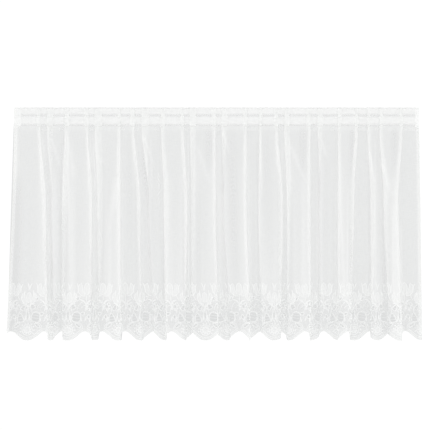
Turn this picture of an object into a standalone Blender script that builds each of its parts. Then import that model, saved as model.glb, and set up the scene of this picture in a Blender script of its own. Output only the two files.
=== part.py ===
"""Sheer rod-pocket cafe curtain with a cut-out lace border, hanging in its pressed tucks.

World frame: metres, +Z up, the room side faces -Y. The origin is the middle of the top edge.
Sizes below are millimetres. The heading is a stand-up header over an empty rod pocket. The
panel hangs 0.3 mm under it. It is one thin sheet, drawn flat with its gaps and then hung: each
level of the sheet is a line of folds that always uses up the same width of cloth.
"""
import math
from collections import namedtuple

import bmesh
import bpy
from mathutils import Vector
from mathutils.geometry import delaunay_2d_cdt

MM = 0.001

# The hung curtain.
CURTAIN_HEIGHT = 600.0
HEADING_LEFT = -521.5
HEADING_RIGHT = 521.5
HEM_LEFT = -542.0
HEM_RIGHT = 530.0
HEADING_HEIGHT = 47.0
PIECE_GAP = 0.3
CLOTH_THICKNESS = 1.0

# The heading's section: a pressed header, a stitch line, the pocket and a second stitch line.
HEADER_HALF = 1.5
HEADER_TOP_HALF = 0.7
HEADER_SHOULDER_Z = -2.0
HEADER_FOOT_Z = -17.5
STITCH_Z = -20.3
STITCH_HALF = 0.9
POCKET_TOP_Z = -26.0
POCKET_BOTTOM_Z = -42.0
POCKET_HALF = 4.9
FOOT_HALF = 2.2
CHANNEL_HALF = 3.7
CHANNEL_TOP_Z = -27.0
CHANNEL_BOTTOM_Z = -41.5
CHANNEL_SHOULDER = 1.6
CHANNEL_TAPER = 3.8
CHANNEL_OVERRUN = 5.0
TUCK_RISE = 2.4
TUCK_STEP = 0.5
TUCK_SLOPE = 3.0

# The panel's folds. Each tuck of the heading is a row, from left to right. "turns" is the side
# that the front edge faces, "top", "middle" and "hem" are that edge's places across the
# curtain, the laps are how far the cloth turns back under it, and a negative lap is a tuck that
# has opened into a soft step. The depths are how far the edge stands in front of the valley.
# Laps and depths share one factor at each level, so that every level uses the cloth's width.
Fold = namedtuple(
    "Fold", "turns top middle hem top_lap middle_lap hem_lap middle_depth hem_depth"
)
FOLDS = (
    Fold("right", -454, -440, -434, 8, 13, 0, 13, 26),
    Fold("left", -436, -424, -418, 18, -4, -4, 12, 12),
    Fold("left", -390, -397, -395, 13, 13, -3, 13, 26),
    Fold("right", -331, -321, -323, 8, 8, -3, 12, 22),
    Fold("left", -313, -306, -303, 21, 15, -3, 13, 22),
    Fold("right", -248, -248, -246, 8, 13, 0, 13, 26),
    Fold("right", -212, -197, -192, 10, 10, -4, 12, 12),
    Fold("left", -192, -174, -160, 18, -4, -4, 12, 12),
    Fold("left", -142, -135, -130, 10, 15, 0, 13, 26),
    Fold("right", -85, -76, -81, 8, 10, -3, 12, 22),
    Fold("left", -68, -64, -63, 17, 10, -3, 13, 22),
    Fold("right", -3, -3, 4, 8, 8, 0, 13, 26),
    Fold("left", 14, 19, 35, 14, -4, -3, 12, 16),
    Fold("right", 77, 76, 86, 9, 8, 0, 13, 26),
    Fold("left", 111, 108, 117, 6, 5, -4, 12, 12),
    Fold("right", 157, 170, 164, 8, 13, 0, 13, 26),
    Fold("left", 175, 182, 183, 15, 10, -3, 13, 22),
    Fold("right", 241, 241, 241, 8, 8, 0, 13, 26),
    Fold("left", 261, 267, 267, 13, -4, -4, 12, 12),
    Fold("left", 313, 313, 313, 8, 8, -3, 13, 22),
    Fold("right", 363, 354, 344, 8, 10, 0, 13, 26),
    Fold("left", 389, 397, 398, 8, 13, 0, 13, 22),
    Fold("left", 420, 431, 444, 10, 15, -3, 13, 26),
    Fold("right", 478, 467, 475, 8, 8, 0, 13, 26),
)
PRESSED_DEPTH = 5.4
TOP_DROP = 50.0
MIDDLE_DROP = 238.0
LAP_MARGIN = 3.0
TURN_BULGE = 0.7
TURN_PLACE = 0.38
SHOULDER_PLACE = 0.96
SIDE_EDGE_PLACE = 0.4
LEFT_FLARE = 1.5
RIGHT_FLARE = 0.7
VALLEY_TOP_Y = 2.6
VALLEY_HEM_Y = 8.0
LEAST_SHARE = 0.1
MOST_SHARE = 1.6
STATIONS = 12
BISECTIONS = 24

# The flat cloth: its repeats run between two notches of the scalloped hem.
REPEAT = 87.0
COLUMNS = 8
LEFT_COLUMNS = 1
WHOLE_REPEATS = 18
RIGHT_COLUMNS = 4
SCALLOP_DEPTH = 23.0
SCALLOP_POWER = 2.2
BORDER_HEIGHT = 160.0
BORDER_ROWS = (23.0, 47.0, 74.0, 101.0, 130.0)
PLAIN_ROWS = 6
EDGE_MARGIN = 4.0
GAP_MARGIN = 3.4
TURN_CLEARANCE = 6.5
INSIDE_ONLY = 1
MERGE_DISTANCE = 1e-5
TURNS = [6 * i + turn for i in range(len(FOLDS)) for turn in (3, 4)]

# The cut-out gaps of one repeat: "across" from its left notch, "up" from the scallop's low
# point, then the length, the width and the slant in degrees.
Gap = namedtuple("Gap", "form across up length width slant")
GAPS = (
    Gap("fan", 24.0, 60.0, 22.0, 16.0, 100.0),
    Gap("moon", 64.0, 63.0, 22.0, 19.0, 80.0),
    Gap("fan", 31.0, 86.0, 15.0, 9.0, 60.0),
    Gap("fan", 54.0, 90.0, 15.0, 11.0, 115.0),
    Gap("ring", 9.0, 88.0, 9.0, 9.0, 0.0),
    Gap("leaf", 42.5, 66.0, 32.0, 5.5, 92.0),
    Gap("leaf", 17.0, 40.0, 17.0, 6.0, 38.0),
    Gap("leaf", 69.0, 40.0, 17.0, 6.0, -38.0),
    Gap("leaf", 79.0, 70.0, 9.0, 6.0, 20.0),
    Gap("leaf", 8.0, 62.0, 10.0, 6.0, 100.0),
    Gap("leaf", 65.0, 108.0, 11.0, 5.5, 60.0),
)
FORMS = {
    "leaf": ((-0.5, 0.0), (0.0, -0.5), (0.5, 0.0), (0.0, 0.5)),
    "fan": ((-0.5, -0.08), (-0.4, -0.45), (0.5, 0.0), (-0.35, 0.5)),
    "moon": ((-0.5, -0.5), (0.3, -0.42), (0.5, 0.05), (0.22, 0.5), (-0.5, 0.42)),
    "ring": ((-0.5, 0.0), (-0.25, -0.43), (0.25, -0.43), (0.5, 0.0), (0.25, 0.43), (-0.25, 0.43)),
}

VOILE = (0.90, 0.91, 0.905)
LACE = (0.93, 0.935, 0.93)


def mix(a, b, share):
    return a + (b - a) * share


def ease(share):
    share = min(max(share, 0.0), 1.0)
    return share * share * (3.0 - 2.0 * share)


def three_way(drop, top, middle, hem):
    """A size at a distance below the top edge, from its three stations."""
    if drop < MIDDLE_DROP:
        return mix(top, middle, ease((drop - TOP_DROP) / (MIDDLE_DROP - TOP_DROP)))
    return mix(middle, hem, ease((drop - MIDDLE_DROP) / (CURTAIN_HEIGHT - MIDDLE_DROP)))


def side_edges(drop):
    share = max(drop - HEADING_HEIGHT, 0.0) / (CURTAIN_HEIGHT - HEADING_HEIGHT)
    left = mix(HEADING_LEFT, HEM_LEFT, share ** LEFT_FLARE)
    right = mix(HEADING_RIGHT, HEM_RIGHT, share ** RIGHT_FLARE)
    return left, right


def fold_points(fold, drop, fold_share):
    """The six points of one fold at one level, from left to right along the cloth."""
    edge = three_way(drop, fold.top, fold.middle, fold.hem)
    lap = three_way(drop, fold.top_lap, fold.middle_lap, fold.hem_lap)
    depth = three_way(drop, PRESSED_DEPTH, fold.middle_depth, fold.hem_depth)
    if lap > 0.0:
        lap *= fold_share
    opened = ease((drop - TOP_DROP) / (MIDDLE_DROP - TOP_DROP))
    depth *= mix(1.0, fold_share, opened)
    side = 1.0 if fold.turns == "right" else -1.0
    valley = three_way(drop, VALLEY_TOP_Y, VALLEY_HEM_Y, VALLEY_HEM_Y)
    covered = max(lap, 0.0) + LAP_MARGIN
    points = [
        (edge - side * covered, valley - SHOULDER_PLACE * depth),
        (edge, valley - depth),
        (edge + side * TURN_BULGE, valley - (1.0 - TURN_PLACE) * depth),
        (edge - side * (lap + TURN_BULGE), valley - TURN_PLACE * depth),
        (edge - side * lap, valley),
        (edge + side * (max(-lap, 0.0) + LAP_MARGIN), valley),
    ]
    return points if side > 0.0 else points[::-1]


def level_line(drop, fold_share):
    """The cloth's line across the curtain at one level, as (x, y) points."""
    left, right = side_edges(drop)
    line = []
    for fold in FOLDS:
        line += fold_points(fold, drop, fold_share)
    first = (left, line[0][1] * SIDE_EDGE_PLACE)
    last = (right, line[-1][1] * SIDE_EDGE_PLACE)
    return [first] + line + [last]


def along(line):
    """The distance along the line at each of its points."""
    total = [0.0]
    for (x0, y0), (x1, y1) in zip(line, line[1:]):
        total.append(total[-1] + math.hypot(x1 - x0, y1 - y0))
    return total


def cloth_width():
    return REPEAT * (WHOLE_REPEATS + (LEFT_COLUMNS + RIGHT_COLUMNS) / COLUMNS)


def solved_share(drop):
    """The factor on laps and depths at which this level uses up the cloth's width."""
    low, high = LEAST_SHARE, MOST_SHARE
    for _ in range(BISECTIONS):
        share = 0.5 * (low + high)
        if along(level_line(drop, share))[-1] < cloth_width():
            low = share
        else:
            high = share
    return share


def station_drops():
    span = CURTAIN_HEIGHT - HEADING_HEIGHT
    return [HEADING_HEIGHT + span * i / (STATIONS - 1) for i in range(STATIONS)]


SHARES = [solved_share(drop) for drop in station_drops()]


def fold_share_at(drop):
    place = (drop - HEADING_HEIGHT) / (CURTAIN_HEIGHT - HEADING_HEIGHT) * (STATIONS - 1)
    place = min(max(place, 0.0), STATIONS - 1.001)
    first = int(place)
    return mix(SHARES[first], SHARES[first + 1], place - first)


def hung(across, up):
    """Where a point of the flat cloth hangs, in metres."""
    drop = CURTAIN_HEIGHT - up
    line = level_line(drop, fold_share_at(drop))
    total = along(line)
    wanted = across / cloth_width() * total[-1]
    i = 0
    while i < len(total) - 2 and total[i + 1] < wanted:
        i += 1
    share = (wanted - total[i]) / (total[i + 1] - total[i])
    x = mix(line[i][0], line[i + 1][0], share)
    y = mix(line[i][1], line[i + 1][1], share)
    return Vector((x, y, -drop)) * MM


def hem_up(across):
    """How high the scalloped hem is above its low points."""
    place = (across / REPEAT - LEFT_COLUMNS / COLUMNS) % 1.0
    return SCALLOP_DEPTH * abs(2.0 * place - 1.0) ** SCALLOP_POWER


def gap_outline(gap, start):
    """A gap's corners on the flat cloth."""
    turn = math.radians(gap.slant)
    corners = []
    for along_share, side_share in FORMS[gap.form]:
        x = along_share * gap.length
        y = side_share * gap.width
        across = start + gap.across + x * math.cos(turn) - y * math.sin(turn)
        corners.append((across, gap.up + x * math.sin(turn) + y * math.cos(turn)))
    return corners


def all_gaps():
    """Every gap that lies whole between the side edges."""
    outlines = []
    for repeat in range(-1, WHOLE_REPEATS + 1):
        start = REPEAT * (repeat + LEFT_COLUMNS / COLUMNS)
        for gap in GAPS:
            outline = gap_outline(gap, start)
            places = [across for across, _ in outline]
            if min(places) > EDGE_MARGIN and max(places) < cloth_width() - EDGE_MARGIN:
                outlines.append(outline)
    return outlines


def inside(point, outline):
    x, y = point
    crossings = 0
    for (x0, y0), (x1, y1) in zip(outline, outline[1:] + outline[:1]):
        if (y0 > y) != (y1 > y) and x < x0 + (x1 - x0) * (y - y0) / (y1 - y0):
            crossings += 1
    return crossings % 2 == 1


def distance_to(point, outline):
    nearest = math.inf
    for (x0, y0), (x1, y1) in zip(outline, outline[1:] + outline[:1]):
        length = math.hypot(x1 - x0, y1 - y0)
        share = ((point[0] - x0) * (x1 - x0) + (point[1] - y0) * (y1 - y0)) / length ** 2
        share = min(max(share, 0.0), 1.0)
        gap_x = point[0] - mix(x0, x1, share)
        gap_y = point[1] - mix(y0, y1, share)
        nearest = min(nearest, math.hypot(gap_x, gap_y))
    return nearest


def fold_places(up):
    """Across the flat cloth, where each point of the hung line lies at this height."""
    drop = CURTAIN_HEIGHT - up
    total = along(level_line(drop, fold_share_at(drop)))
    return [distance * cloth_width() / total[-1] for distance in total]


def row_places(up, places):
    """Across one row of the border: both turns of each fold, and even places between them."""
    line = fold_places(up)
    turns = [line[i] for i in TURNS]
    even = [across for across in places[1:-1]
            if all(abs(across - turn) > TURN_CLEARANCE for turn in turns)]
    return sorted(turns + even)


def flat_cloth():
    """The flat sheet's points, triangles and gaps, in millimetres."""
    points = []
    edges = []

    def add_row(row):
        first = len(points)
        points.extend(row)
        return list(range(first, len(points)))

    def join(row):
        edges.extend(zip(row, row[1:]))

    top_up = CURTAIN_HEIGHT - HEADING_HEIGHT - PIECE_GAP
    above = None
    for i in range(PLAIN_ROWS + 1):
        up = mix(top_up, BORDER_HEIGHT, i / PLAIN_ROWS)
        row = add_row([(across, up) for across in fold_places(up)])
        join(row)
        if above:
            edges.extend(zip(above, row))
        above = row
    columns = round(cloth_width() / REPEAT * COLUMNS)
    places = [cloth_width() * i / columns for i in range(columns + 1)]
    hem = add_row([(across, hem_up(across)) for across in places])
    join(hem)
    gaps = all_gaps()
    for side, across in ((0, 0.0), (-1, cloth_width())):
        heights = [up for up in BORDER_ROWS[::-1] if up > SCALLOP_DEPTH + GAP_MARGIN]
        join([above[side]] + add_row([(across, up) for up in heights]) + [hem[side]])
    for up in BORDER_ROWS:
        for across in row_places(up, places):
            near = [gap for gap in gaps if abs(gap[0][0] - across) < REPEAT]
            if up < hem_up(across) + GAP_MARGIN:
                continue
            if all(not inside((across, up), gap) and distance_to((across, up), gap) > GAP_MARGIN
                   for gap in near):
                points.append((across, up))
    for gap in gaps:
        row = add_row(gap)
        edges.extend(zip(row, row[1:] + row[:1]))
    return points, edges, gaps


def panel_triangles(points, edges, gaps):
    """The flat sheet in triangles, with its gaps and what lies below the hem left out."""
    made = delaunay_2d_cdt([Vector(p) for p in points], edges, [], INSIDE_ONLY, MERGE_DISTANCE)
    places, faces = made[0], made[2]
    kept = []
    for face in faces:
        middle = sum((places[i] for i in face), Vector((0.0, 0.0))) / len(face)
        near = [gap for gap in gaps if abs(gap[0][0] - middle.x) < REPEAT]
        if not any(inside((middle.x, middle.y), gap) for gap in near):
            kept.append(face)
    return places, kept


def material(name, colour, roughness):
    made = bpy.data.materials.new(name)
    made.use_nodes = True
    shader = made.node_tree.nodes["Principled BSDF"]
    shader.inputs["Base Color"].default_value = (*colour, 1.0)
    shader.inputs["Roughness"].default_value = roughness
    shader.inputs["Metallic"].default_value = 0.0
    made.diffuse_color = (*colour, 1.0)
    return made


def new_object(name, bm, finish):
    mesh = bpy.data.meshes.new(name)
    bm.to_mesh(mesh)
    bm.free()
    made = bpy.data.objects.new(name, mesh)
    bpy.context.collection.objects.link(made)
    if finish:
        mesh.materials.append(finish)
    return made


def make_panel(parent):
    """The hanging sheet: triangulated flat, hung in its folds, then given its thickness."""
    places, faces = panel_triangles(*flat_cloth())
    bm = bmesh.new()
    verts = [bm.verts.new(hung(place.x, place.y)) for place in places]
    for face in faces:
        bm.faces.new([verts[i] for i in face])
    loose = [vert for vert in bm.verts if not vert.link_faces]
    bmesh.ops.delete(bm, geom=loose, context="VERTS")
    panel = new_object("panel", bm, material("sheer_voile", VOILE, 0.85))
    panel.data.shade_smooth()
    thickness = panel.modifiers.new("thickness", "SOLIDIFY")
    thickness.thickness = CLOTH_THICKNESS * MM
    thickness.offset = 0.0
    panel.parent = parent
    return panel


def heading_section(rise):
    """The heading's outline in (y, z), clockwise from the front of its top edge."""
    front = (
        (-HEADER_TOP_HALF - 0.5 * rise, 0.0),
        (-HEADER_HALF - rise, HEADER_SHOULDER_Z),
        (-HEADER_HALF - rise, HEADER_FOOT_Z),
        (-STITCH_HALF - rise, STITCH_Z),
        (-POCKET_HALF - rise, POCKET_TOP_Z),
        (-POCKET_HALF - rise, POCKET_BOTTOM_Z),
        (-FOOT_HALF - rise, -HEADING_HEIGHT),
    )
    back = (
        (FOOT_HALF, -HEADING_HEIGHT),
        (POCKET_HALF, POCKET_BOTTOM_Z),
        (POCKET_HALF, POCKET_TOP_Z),
        (STITCH_HALF, STITCH_Z),
        (HEADER_HALF, HEADER_FOOT_Z),
        (HEADER_HALF, HEADER_SHOULDER_Z),
        (HEADER_TOP_HALF, 0.0),
    )
    return front + back


def heading_columns():
    """Across the heading, where each section stands and how proud its tuck is."""
    columns = [(HEADING_LEFT, 0.0)]
    for fold in FOLDS:
        lap = fold.top_lap * SHARES[0]
        side = 1.0 if fold.turns == "right" else -1.0
        steps = [
            (fold.top + side * TUCK_STEP, 0.0),
            (fold.top - side * TUCK_STEP, TUCK_RISE),
            (fold.top - side * (lap - TUCK_STEP), TUCK_RISE),
            (fold.top - side * (lap + TUCK_SLOPE), 0.0),
        ]
        columns += sorted(steps)
    return columns + [(HEADING_RIGHT, 0.0)]


def loft(rings):
    """A closed body through rings of (x, y, z) points with the same count."""
    bm = bmesh.new()
    loops = [[bm.verts.new(Vector(point) * MM) for point in ring] for ring in rings]
    for first, second in zip(loops, loops[1:]):
        for i in range(len(first)):
            j = (i + 1) % len(first)
            bm.faces.new((first[i], second[i], second[j], first[j]))
    bm.faces.new(loops[0])
    bm.faces.new(loops[-1][::-1])
    bmesh.ops.recalc_face_normals(bm, faces=bm.faces)
    return bm


def make_heading(parent):
    """The turned-over top of the cloth, with the rod pocket cut through it."""
    rings = []
    for x, rise in heading_columns():
        rings.append([(x, y, z) for y, z in heading_section(rise)])
    heading = new_object("heading", loft(rings), material("heading_voile", LACE, 0.8))
    channel = (
        (-CHANNEL_HALF, CHANNEL_TOP_Z),
        (-CHANNEL_HALF, CHANNEL_BOTTOM_Z),
        (-CHANNEL_SHOULDER, CHANNEL_BOTTOM_Z - CHANNEL_TAPER),
        (CHANNEL_SHOULDER, CHANNEL_BOTTOM_Z - CHANNEL_TAPER),
        (CHANNEL_HALF, CHANNEL_BOTTOM_Z),
        (CHANNEL_HALF, CHANNEL_TOP_Z),
        (CHANNEL_SHOULDER, CHANNEL_TOP_Z + CHANNEL_TAPER),
        (-CHANNEL_SHOULDER, CHANNEL_TOP_Z + CHANNEL_TAPER),
    )
    ends = (HEADING_LEFT - CHANNEL_OVERRUN, HEADING_RIGHT + CHANNEL_OVERRUN)
    rings = [[(x, y, z) for y, z in channel] for x in ends]
    cutter = new_object("pocket_cutter", loft(rings), None)
    cutter.hide_render = True
    cutter.display_type = "WIRE"
    cut = heading.modifiers.new("pocket", "BOOLEAN")
    cut.operation = "DIFFERENCE"
    cut.object = cutter
    heading.parent = parent
    cutter.parent = parent
    return heading


def main():
    for item in list(bpy.data.objects):
        bpy.data.objects.remove(item, do_unlink=True)
    curtain = bpy.data.objects.new("curtain", None)
    bpy.context.collection.objects.link(curtain)
    make_heading(curtain)
    make_panel(curtain)


main()
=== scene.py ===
import math

import bmesh
import bpy
import numpy as np
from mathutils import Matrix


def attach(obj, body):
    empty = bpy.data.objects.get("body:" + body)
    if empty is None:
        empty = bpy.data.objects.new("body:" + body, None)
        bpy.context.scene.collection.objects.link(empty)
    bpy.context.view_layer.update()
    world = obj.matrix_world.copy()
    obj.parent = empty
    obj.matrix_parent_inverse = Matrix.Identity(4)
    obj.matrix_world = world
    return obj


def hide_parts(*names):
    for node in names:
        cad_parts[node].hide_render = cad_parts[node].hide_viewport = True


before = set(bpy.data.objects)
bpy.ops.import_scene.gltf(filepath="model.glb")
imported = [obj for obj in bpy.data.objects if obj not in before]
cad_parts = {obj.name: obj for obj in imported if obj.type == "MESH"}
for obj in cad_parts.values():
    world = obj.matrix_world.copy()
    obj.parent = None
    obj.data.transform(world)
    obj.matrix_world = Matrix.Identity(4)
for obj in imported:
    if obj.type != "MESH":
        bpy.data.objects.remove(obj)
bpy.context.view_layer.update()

# Sheer rod-pocket cafe curtain with a cut-out lace border, seen face on.
# Metres, +Z up, the room side faces -Y. Sizes in the dictionaries are millimetres.

scene = bpy.context.scene
mm = 0.001

# Camera: the photo is 430 px wide and 1 px is 2.575 mm of curtain.
cameraPlace = {
    "frameWidth": 1.107,
    "distance": 4.2,
    "across": -0.0039,
    "height": -0.2768,
    "sensor": 36.0,
    "clipEnd": 50.0,
}

cameraData = bpy.data.cameras.new("camera")
cameraData.sensor_width = cameraPlace["sensor"]
cameraData.lens = cameraPlace["sensor"] * cameraPlace["distance"] / cameraPlace["frameWidth"]
cameraData.clip_end = cameraPlace["clipEnd"]
camera = bpy.data.objects.new("camera", cameraData)
camera.location = (cameraPlace["across"], -cameraPlace["distance"], cameraPlace["height"])
camera.rotation_euler = (math.radians(90.0), 0.0, 0.0)
scene.collection.objects.link(camera)
scene.camera = camera
print("camera set")

# The cloth, as cut and as hung.
cloth = {
    "height": 600.0,
    "headingHeight": 47.0,
    "repeat": 87.0,
    "repeats": 18.625,
    "firstNotch": 10.875,  # across, from the left edge
    "scallopDepth": 23.0,
    "scallopPower": 1.25,
    "borderHeight": 160.0,
    "headingLeft": -521.5,
    "headingRight": 521.5,
    "hemLeft": -542.0,
    "hemRight": 530.0,
    "leftFlare": 1.5,
    "rightFlare": 0.7,
    "seamGap": 0.3,
}
clothWidth = cloth["repeat"] * cloth["repeats"]

# Each tuck of the heading and the fold that it opens into, from left to right: the side that the
# front edge faces, its places across at the top, the middle and the hem, the laps under it
# there, and the depths of the middle and the hem. A negative lap is a soft step.
foldRows = (
    ("right", -454, -440, -434, 8, 13, 0, 13, 26),
    ("left", -436, -424, -418, 18, -4, -4, 12, 12),
    ("left", -390, -397, -395, 13, 13, -3, 13, 26),
    ("right", -331, -321, -323, 8, 8, -3, 12, 22),
    ("left", -313, -306, -303, 21, 15, -3, 13, 22),
    ("right", -248, -248, -246, 8, 13, 0, 13, 26),
    ("right", -212, -197, -192, 10, 10, -4, 12, 12),
    ("left", -192, -174, -160, 18, -4, -4, 12, 12),
    ("left", -142, -135, -130, 10, 15, 0, 13, 26),
    ("right", -85, -76, -81, 8, 10, -3, 12, 22),
    ("left", -68, -64, -63, 17, 10, -3, 13, 22),
    ("right", -3, -3, 4, 8, 8, 0, 13, 26),
    ("left", 14, 19, 35, 14, -4, -3, 12, 16),
    ("right", 77, 76, 86, 9, 8, 0, 13, 26),
    ("left", 111, 108, 117, 6, 5, -4, 12, 12),
    ("right", 157, 170, 164, 8, 13, 0, 13, 26),
    ("left", 175, 182, 183, 15, 10, -3, 13, 22),
    ("right", 241, 241, 241, 8, 8, 0, 13, 26),
    ("left", 261, 267, 267, 13, -4, -4, 12, 12),
    ("left", 313, 313, 313, 8, 8, -3, 13, 22),
    ("right", 363, 354, 344, 8, 10, 0, 13, 26),
    ("left", 389, 397, 398, 8, 13, 0, 13, 22),
    ("left", 420, 431, 444, 10, 15, -3, 13, 26),
    ("right", 478, 467, 475, 8, 8, 0, 13, 26),
)

hang = {
    "pressedDepth": 5.4,
    "topDrop": 50.0,
    "middleDrop": 238.0,
    "lapMargin": 3.0,
    "turnBulge": 0.7,
    "turnPlace": 0.38,
    "shoulderPlace": 0.96,
    "sidePlace": 0.4,
    "valleyTop": 2.6,
    "valleyHem": 8.0,
    "leastShare": 0.1,
    "mostShare": 1.6,
    "halvings": 18,
    "levels": 90,
    "samples": 4001,  # along the cloth, at each level
    "spanSteps": 10,  # of the smooth curve, between two points of a fold
    # soft unevenness of the hanging cloth: it grows from a drop, over another
    "ripple": 0.5,
    "rippleFrom": 90.0,
    "rippleOver": 200.0,
    # share, size across, size down and start of each slow wave
    "waves": ((1.0, 11.0, 160.0, 0.0), (0.8, 6.1, -95.0, 1.3)),
    # The ridge values: more cover on ridges and fold fronts, less in valleys; partly gathered
    # cloth, partly painted light and painted shadow.
    "ridgeBlur": 9,  # in samples
    "localReach": 75,  # in samples
    # percentiles that count as the back, as fully forward and as a full local rise
    "backPercent": 96,
    "proudPercent": 93,
    "localPercent": 95,
    "leastLocal": 0.3,
    "localShare": 0.85,
    "ridgeLimits": (-0.3, 1.4),
    "glowReach": (3.5, 17.0, 36.0),  # at the heading, the middle and the hem
    "glowBehind": 0.35,
    "glowBase": 0.32,
    "glowGain": 0.65,
    "glowShare": 0.75,
    "creaseDepth": 0.8,
    "creaseReach": 3.0,  # in half widths
    "creaseFade": 0.7,
}


def mix(a, b, share):
    return a + (b - a) * share


def ease(share):
    share = min(max(share, 0.0), 1.0)
    return share * share * (3.0 - 2.0 * share)


def threeWay(drop, top, middle, hem):
    if drop < hang["middleDrop"]:
        span = hang["middleDrop"] - hang["topDrop"]
        return mix(top, middle, ease((drop - hang["topDrop"]) / span))
    span = cloth["height"] - hang["middleDrop"]
    return mix(middle, hem, ease((drop - hang["middleDrop"]) / span))


def sideEdges(drop):
    share = max(drop - cloth["headingHeight"], 0.0) / (cloth["height"] - cloth["headingHeight"])
    left = mix(cloth["headingLeft"], cloth["hemLeft"], share ** cloth["leftFlare"])
    right = mix(cloth["headingRight"], cloth["hemRight"], share ** cloth["rightFlare"])
    return left, right


def foldPoints(row, drop, share):
    turns, top, middle, hem, topLap, middleLap, hemLap, middleDepth, hemDepth = row
    edge = threeWay(drop, top, middle, hem)
    lap = threeWay(drop, topLap, middleLap, hemLap)
    if lap > 0.0:
        lap *= share
    opened = ease((drop - hang["topDrop"]) / (hang["middleDrop"] - hang["topDrop"]))
    depth = threeWay(drop, hang["pressedDepth"], middleDepth, hemDepth) * mix(1.0, share, opened)
    valley = threeWay(drop, hang["valleyTop"], hang["valleyHem"], hang["valleyHem"])
    side = 1.0 if turns == "right" else -1.0
    bulge = hang["turnBulge"]
    points = [
        (edge - side * (max(lap, 0.0) + hang["lapMargin"]), valley - hang["shoulderPlace"] * depth),
        (edge, valley - depth),
        (edge + side * bulge, valley - (1.0 - hang["turnPlace"]) * depth),
        (edge - side * (lap + bulge), valley - hang["turnPlace"] * depth),
        (edge - side * lap, valley),
        (edge + side * (max(-lap, 0.0) + hang["lapMargin"]), valley),
    ]
    return points if side > 0.0 else points[::-1]


def levelLine(drop, share):
    left, right = sideEdges(drop)
    line = [point for row in foldRows for point in foldPoints(row, drop, share)]
    first = (left, line[0][1] * hang["sidePlace"])
    last = (right, line[-1][1] * hang["sidePlace"])
    return np.array([first] + line + [last])


def lineLength(line):
    return np.hypot(*np.diff(line, axis=0).T).sum()


def solvedShare(drop):
    # The share of the laps and depths that uses up the whole width of cloth
    low, high = hang["leastShare"], hang["mostShare"]
    for _ in range(hang["halvings"]):
        share = 0.5 * (low + high)
        if lineLength(levelLine(drop, share)) < clothWidth:
            low = share
        else:
            high = share
    return share


def smoothLine(points, steps):
    # Centripetal Catmull-Rom through every point
    first = 2.0 * points[0] - points[1]
    last = 2.0 * points[-1] - points[-2]
    p = np.vstack([first, points, last])
    knots = np.concatenate([[0.0], np.cumsum(np.linalg.norm(np.diff(p, axis=0), axis=1) ** 0.5)])
    pieces = []
    for i in range(1, len(p) - 2):
        t0, t1, t2, t3 = knots[i - 1:i + 3]
        t = np.linspace(t1, t2, steps, endpoint=False)[:, None]
        a1 = (t1 - t) / (t1 - t0) * p[i - 1] + (t - t0) / (t1 - t0) * p[i]
        a2 = (t2 - t) / (t2 - t1) * p[i] + (t - t1) / (t2 - t1) * p[i + 1]
        a3 = (t3 - t) / (t3 - t2) * p[i + 1] + (t - t2) / (t3 - t2) * p[i + 2]
        b1 = (t2 - t) / (t2 - t0) * a1 + (t - t0) / (t2 - t0) * a2
        b2 = (t3 - t) / (t3 - t1) * a2 + (t - t1) / (t3 - t1) * a3
        pieces.append((t2 - t) / (t2 - t1) * b1 + (t - t1) / (t2 - t1) * b2)
    return np.vstack(pieces + [p[-2:-1]])


def ripples(across, drop):
    # Slow waves that grow below the heading, in millimetres
    grown = np.clip((drop - hang["rippleFrom"]) / hang["rippleOver"], 0.0, 1.0)
    wave = sum(
        share * np.sin(across / wide + drop / tall + start)
        for share, wide, tall, start in hang["waves"]
    )
    return hang["ripple"] * grown * wave


dropLow = cloth["headingHeight"]
levelDrops = np.linspace(dropLow, cloth["height"], hang["levels"])
lineX = np.empty((hang["levels"], hang["samples"]))
lineY = np.empty_like(lineX)
for level, levelDrop in enumerate(levelDrops):
    curve = smoothLine(levelLine(levelDrop, solvedShare(levelDrop)), hang["spanSteps"])
    travelled = np.concatenate([[0.0], np.cumsum(np.hypot(*np.diff(curve, axis=0).T))])
    wanted = np.linspace(0.0, travelled[-1], hang["samples"])
    lineX[level] = np.interp(wanted, travelled, curve[:, 0])
    lineY[level] = np.interp(wanted, travelled, curve[:, 1])
    lineY[level] += ripples(wanted, levelDrop)


def blurred(line, half):
    window = np.hanning(2 * half + 1)
    return np.convolve(np.pad(line, half, mode="edge"), window / window.sum(), mode="valid")


def frontGlow(x, drop):
    # Painted highlight: 1 at the front edges of the folds, fading over more cloth the lower down
    glow = np.zeros(len(x))
    reach = threeWay(drop, *hang["glowReach"])
    for turns, top, middle, hem in [row[:4] for row in foldRows]:
        away = x - threeWay(drop, top, middle, hem)
        if turns == "right":
            away = -away
        span = np.where(away > 0.0, reach, reach * hang["glowBehind"])
        glow = np.maximum(glow, np.exp(-(away / span) ** 2))
    return glow


# How much more cover each place of the cloth gets, from 0 in a valley to 1 on a ridge
# Partly cloth gathered on the ridges, partly painted light on ridges and fold fronts and painted
# shadow in the valleys.
lineRidge = np.empty_like(lineY)
for level in range(hang["levels"]):
    proud = np.percentile(lineY[level], hang["backPercent"]) - lineY[level]
    proud = np.clip(proud / np.percentile(proud, hang["proudPercent"]), 0.0, 1.0)
    local = blurred(lineY[level], hang["localReach"]) - lineY[level]
    local = np.clip(local / np.percentile(local, hang["localPercent"]), hang["leastLocal"], 1.0)
    share = hang["localShare"]
    plain = (1.0 - share) * proud + share * (0.5 + 0.5 * local)
    glow = hang["glowBase"] + hang["glowGain"] * frontGlow(lineX[level], levelDrops[level])
    lineRidge[level] = blurred(mix(plain, glow, hang["glowShare"]), hang["ridgeBlur"])
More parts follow.
